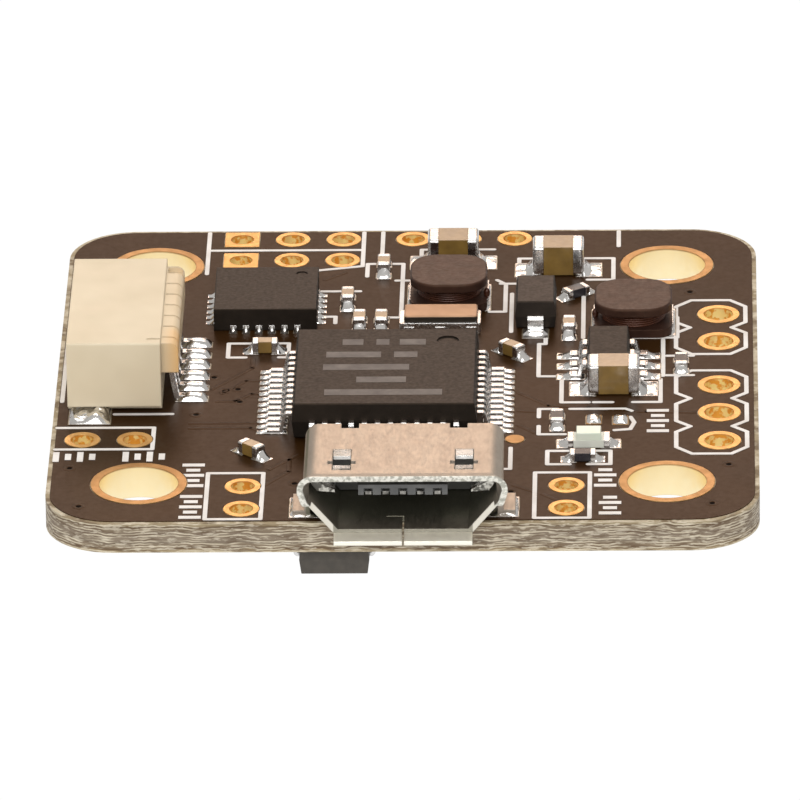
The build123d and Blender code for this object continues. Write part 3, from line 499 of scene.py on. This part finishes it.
def dome(u, v):
    """Full in the middle, falling round to all four sides."""
    return max(0.0, (1 - abs(2 * u - 1) ** 2.6) * (1 - abs(v) ** 2.6)) ** 0.5


def fillet(u, v):
    """High at the start, a hollow slope to the end."""
    return max(0.0, (1 - u) ** 1.7 * (1 - abs(v) ** 4)) ** 0.9 if u > 0.01 else 1.0


def ends_of(places):
    """Both ends of each turned chip, each facing outwards."""
    return [(x, y, turn + side) for x, y, turn in places for side in (0, 180)]


# ------------------------------------------------------- solder
lead_joints = Lumps()
for turn in (0, 90, 180, 270):
    for i in range(12):
        step = 0.5 * (i - 5.5)
        x = MCU_AT[0] - step * sin(radians(turn))
        y = MCU_AT[1] + step * cos(radians(turn))
        lead_joints.patch((x, y, turn), 3.76, 4.9, 0.27, 0.085, dome, 8, 4)
        lead_joints.patch((x, y, turn), 4.42, 4.9, 0.25, 0.16, fillet, 6, 4)
    for i in range(6):
        step = 0.5 * (i - 2.5)
        x = IMU_AT[0] - step * sin(radians(turn))
        y = IMU_AT[1] + step * cos(radians(turn))
        lead_joints.patch((x, y, turn), 1.9, 2.33, 0.28, 0.3, fillet, 6, 4)
for turn in (0, 180):
    for i in (-1, 0, 1):
        y = REGULATOR_AT[1] + 0.95 * i
        lead_joints.patch((REGULATOR_AT[0], y, turn), 1.35, 2.0, 0.52, 0.24, fillet)
        lead_joints.patch((REGULATOR_AT[0], y, turn), 0.92, 1.6, 0.54, 0.09, dome)
for turn in (90, 270):
    lead_joints.patch((*DIODE_AT, turn), 1.7, 2.2, 0.96, 0.26, fillet)
for i in (-1, 0, 1):
    for turn in (90, 270):
        x = RESONATOR_AT[0] + 1.2 * i
        lead_joints.patch((x, RESONATOR_AT[1], turn), 0.55, 0.9, 0.43, 0.3, fillet)
lead_joints.build("lead_solder", "solder")

chip_joints = Lumps()
for place in ends_of(LARGE_CAPACITORS):
    chip_joints.patch(place, 0.93, 1.4, 1.24, 0.5, fillet, 9, 8)
    chip_joints.patch(place, 0.75, 1.69, 1.28, 0.05, dome, 9, 8, rough=0.8)
for place in ends_of(SMALL_CAPACITORS):
    chip_joints.patch(place, 0.42, 0.86, 0.56, 0.42, fillet)
for place in ends_of(SMALL_RESISTORS):
    chip_joints.patch(place, 0.42, 0.84, 0.56, 0.32, fillet)
for place in ends_of([(*LED_AT, 0)]):
    chip_joints.patch(place, 0.7, 1.22, 0.74, 0.3, fillet)
for place in ends_of([(x, y, 0) for x, y in INDUCTORS]):
    chip_joints.patch(place, 1.4, 1.62, 2.3, 0.3, fillet, 4, 14)
for x, y in BOOT_LANDS:
    chip_joints.patch((x, y, 90), -0.38, 0.38, 0.56, 0.13, dome, 8, 6, rough=0.5)
chip_joints.build("chip_solder", "solder")

socket_joints = Lumps()
for y in PLUG_PIN_YS:
    socket_joints.patch((-8.25, y, 0), -0.55, 0.62, 0.54, 0.26, dome, 9, 6)
for y in PLUG_TAB_YS:
    socket_joints.patch((-12.1, y, 0), -0.78, 0.78, 1.46, 0.3, dome, 12, 12, rough=0.9)
for x in USB_PIN_XS:
    socket_joints.patch((x, -9.35, 90), -0.5, 0.54, 0.38, 0.17, dome, 8, 4)
for x in USB_WINGS:
    socket_joints.patch((x, -12.2, 90), -0.86, 0.86, 1.12, 0.16, dome, 12, 10, rough=0.9)
socket_joints.build("socket_solder", "solder")

# ------------------------------------------------------- wound coils
coil_points, coil_faces = [], []
turns_in_stack, ring_steps, wire_steps = 6, 40, 6
wire_half, coil_radius = 0.052, 1.22
coil_low, coil_high = 1.62, 2.08
for x0, y0 in INDUCTORS:
    for k in range(turns_in_stack):
        z0 = coil_low + (coil_high - coil_low) * k / (turns_in_stack - 1)
        base = len(coil_points)
        for i in range(ring_steps):
            a = 2 * pi * i / ring_steps
            for j in range(wire_steps):
                b = 2 * pi * j / wire_steps
                r = coil_radius + wire_half * cos(b)
                coil_points.append((x0 + r * cos(a), y0 + r * sin(a), z0 + wire_half * sin(b)))
        for i in range(ring_steps):
            for j in range(wire_steps):
                i2, j2 = (i + 1) % ring_steps, (j + 1) % wire_steps
                coil_faces.append((
                    base + i * wire_steps + j, base + i2 * wire_steps + j,
                    base + i2 * wire_steps + j2, base + i * wire_steps + j2,
                ))
coils = add_piece("wound_coils", coil_points, coil_faces, "coil_wire")
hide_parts("inductor_coils")

# ------------------------------------------------------- ends of the windings, bent down beside the drums
stub_radius, stub_stretch, stub_height = 0.13, 1.6, 1.72
for number, (x, y) in enumerate([(2.98, 6.35), (7.22, 4.35)]):
    bpy.ops.mesh.primitive_uv_sphere_add(segments=16, ring_count=10, radius=stub_radius * MM)
    stub = bpy.context.object
    stub.name = f"winding_end_{number}"
    for vertex in stub.data.vertices:
        tall = Vector((vertex.co.x, vertex.co.y, vertex.co.z * stub_stretch))
        vertex.co = tall + Vector((x, y, stub_height)) * MM
    stub.location = (0, 0, 0)
    stub.data.materials.append(materials["coil_wire"])
    for face in stub.data.polygons:
        face.use_smooth = True
    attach(stub, "root")

# ------------------------------------------------------- copper tracks and filled vias under the lacquer
tracks = [
    [(-8.26, -4.6), (-5.65, -4.6)],
    [(-8.26, -5.05), (-5.9, -5.05), (-5.2, -5.6)],
    [(-7.5, -1.5), (-6.0, 0.45), (-6.0, 1.3)],
    [(-7.1, -1.9), (-6.2, -0.75), (-5.4, -0.75)],
    [(-7.3, -2.6), (-6.6, -2.6), (-5.95, -1.95), (-5.3, -1.95)],
    [(-5.1, -8.8), (-4.0, -7.5)],
    [(-5.3, -10.3), (-4.35, -9.0), (-4.35, -7.9)],
    [(4.25, -1.9), (5.45, -3.15), (7.0, -3.3), (9.2, -3.75), (11.1, -3.8)],
    [(4.3, -3.6), (5.0, -3.7)],
    [(4.3, -4.9), (4.95, -5.6)],
    [(4.2, -10.3), (5.0, -10.9)],
    [(5.3, -11.1), (5.9, -11.7)],
    [(-3.2, 2.3), (-4.4, 3.3)],
    [(-3.4, 8.7), (-2.6, 9.4)],
]
track_profile = [(-0.12, -0.004), (-0.07, 0.012), (0.07, 0.012), (0.12, -0.004)]
track_points, track_faces = [], []
for route in tracks:
    for (x0, y0), (x1, y1) in zip(route, route[1:]):
        along = Vector((x1 - x0, y1 - y0, 0)).normalized()
        beside_it = Vector((-along.y, along.x, 0))
        start = Vector((x0, y0, 0)) - along * 0.05
        end = Vector((x1, y1, 0)) + along * 0.05
        base = len(track_points)
        for offset, rise in track_profile:
            for point in (start, end):
                raised = point + beside_it * offset + Vector((0, 0, MASK_TOP + rise))
                track_points.append(tuple(raised))
        for k in (0, 2, 4):
            track_faces.append((base + k, base + k + 1, base + k + 3, base + k + 2))
add_piece("tracks", track_points, track_faces, "solder_mask")

vias = [
    (-8.04, -3.8), (-6.4, -2.65), (-12.68, -8.6), (-12.2, -12.0), (-4.1, -10.05), (12.34, -8.5),
    (11.7, -11.95), (4.1, -10.85), (3.76, -10.0), (-7.0, -1.65), (-6.5, -1.5), (-7.45, -0.4), (10.9, 7.4),
]
rings = [(0.27, -0.008), (0.2, 0.004), (0.12, 0.004), (0.1, -0.006), (0.0, -0.007)]
via_points, via_faces = [], []
via_steps = 20
for x, y in vias:
    base = len(via_points)
    for radius, rise in rings:
        for i in range(via_steps):
            a = 2 * pi * i / via_steps
            via_points.append((x + radius * cos(a), y + radius * sin(a), MASK_TOP + 0.008 + rise))
    for k in range(len(rings) - 1):
        for i in range(via_steps):
            a, b = base + k * via_steps + i, base + k * via_steps + (i + 1) % via_steps
            via_faces.append((a, b, b + via_steps, a + via_steps))
add_piece("filled_vias", via_points, via_faces, "solder_mask")

dot_points, dot_faces = [], []
dot_steps, dot_radius = 12, 0.11
for x, y in vias:
    base = len(dot_points)
    for i in range(dot_steps):
        a = 2 * pi * i / dot_steps
        dot_points.append((x + dot_radius * cos(a), y + 0.9 * dot_radius * sin(a), MASK_TOP + 0.006))
    dot_faces.append(tuple(range(base, base + dot_steps)))
add_piece("via_mouths", dot_points, dot_faces, "via_dark", smooth=False)

# ------------------------------------------------------- plain bars in place of the chip's marking
bar_points, bar_faces = [], []
first_row_y, row_pitch, bar_half = 2.2, 1.15, 0.26
bar_rows = [
    [(-1.7, -0.9), (-0.4, 0.1), (0.5, 1.5)],
    [(-2.3, -0.2), (0.3, 1.2)],
    [(-2.4, 0.9)],
    [(-1.1, 0.8)],
    [(-2.3, 2.2)],
]
for row, bars in enumerate(bar_rows):
    y0 = MCU_AT[1] + first_row_y - row_pitch * row
    low_y, high_y = y0 - bar_half, y0 + bar_half
    for start, end in bars:
        base = len(bar_points)
        for x, y in ((start, low_y), (end, low_y), (end, high_y), (start, high_y)):
            bar_points.append((MCU_AT[0] + x, y, MCU_TOP + 0.004))
        bar_faces.append((base, base + 1, base + 2, base + 3))
add_piece("chip_marking", bar_points, bar_faces, "marking", smooth=False)

# ------------------------------------------------------- surroundings
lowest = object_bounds()[0].z / MM


def glow(name, colour, strength):
    material = bpy.data.materials.new(name)
    material.use_nodes = True
    tree = material.node_tree
    tree.nodes.clear()
    light = tree.nodes.new("ShaderNodeEmission")
    light.inputs["Color"].default_value = colour
    light.inputs["Strength"].default_value = strength
    out = tree.nodes.new("ShaderNodeOutputMaterial")
    tree.links.new(light.outputs["Emission"], out.inputs["Surface"])
    return material


floor_half, floor_gap = 900, 0.02
floor_mesh = bpy.data.meshes.new("floor")
floor_corners = [
    (sx * floor_half * MM, sy * floor_half * MM, (lowest - floor_gap) * MM)
    for sx, sy in ((-1, -1), (1, -1), (1, 1), (-1, 1))
]
floor_mesh.from_pydata(floor_corners, [], [(0, 1, 2, 3)])
floor_mesh.materials.append(glow("white_floor", (1, 1, 1, 1), 1.02))
floor = bpy.data.objects.new("floor", floor_mesh)
bpy.context.scene.collection.objects.link(floor)

world = bpy.data.worlds.new("surroundings")
bpy.context.scene.world = world
world.use_nodes = True
world.node_tree.nodes["Background"].inputs["Color"].default_value = (1.0, 0.97, 0.93, 1)
world.node_tree.nodes["Background"].inputs["Strength"].default_value = 0.5


def soft_light(name, azimuth, elevation, distance, wide, tall, colour, watts):
    """A rectangular lamp aimed at the board; azimuth 0 is behind it, along +Y."""
    lamp = bpy.data.lights.new(name, "AREA")
    lamp.shape = "RECTANGLE"
    lamp.size = wide * MM
    lamp.size_y = tall * MM
    lamp.color = colour
    lamp.energy = watts
    holder = bpy.data.objects.new(name, lamp)
    a, e = radians(azimuth), radians(elevation)
    spot = Vector((sin(a) * cos(e), cos(a) * cos(e), sin(e)))
    holder.location = spot * distance * MM
    holder.rotation_euler = spot.to_track_quat("Z", "Y").to_euler()
    bpy.context.scene.collection.objects.link(holder)


soft_light("warm_back", 0, 33, 400, 190, 130, (1.0, 0.7, 0.52), 0.27)
soft_light("front_fill", 184, 35, 500, 400, 250, (1.0, 1.0, 1.0), 1.25)
soft_light("overhead", 20, 80, 500, 260, 260, (1.0, 0.98, 0.95), 0.6)

# ------------------------------------------------------- camera
azimuth, elevation, roll = radians(1.41), radians(24.642), radians(-0.851)
distance = 487
back = Vector((sin(azimuth) * cos(elevation), -cos(azimuth) * cos(elevation), sin(elevation)))
right = Vector((cos(azimuth), sin(azimuth), 0))
up = back.cross(right)
right, up = right * cos(roll) + up * sin(roll), up * cos(roll) - right * sin(roll)
lens = bpy.data.cameras.new("camera")
lens.lens = 568.3
lens.sensor_width = 36
lens.clip_start = 0.01
lens.clip_end = 20
camera = bpy.data.objects.new("camera", lens)
spot = (Vector((0, 0, BOARD_TOP)) + back * distance) * MM
aim = (Vector((0, 0, BOARD_TOP)) - right * 0.294 - up * 1.042) * MM
axis = (spot - aim).normalized()
side = up.cross(axis).normalized()
turned = Matrix((side, axis.cross(side), axis)).transposed()
camera.matrix_world = Matrix.Translation(spot) @ turned.to_4x4()
bpy.context.scene.collection.objects.link(camera)
bpy.context.scene.camera = camera

bpy.context.scene.view_settings.view_transform = "Standard"
bpy.context.scene.view_settings.look = "None"
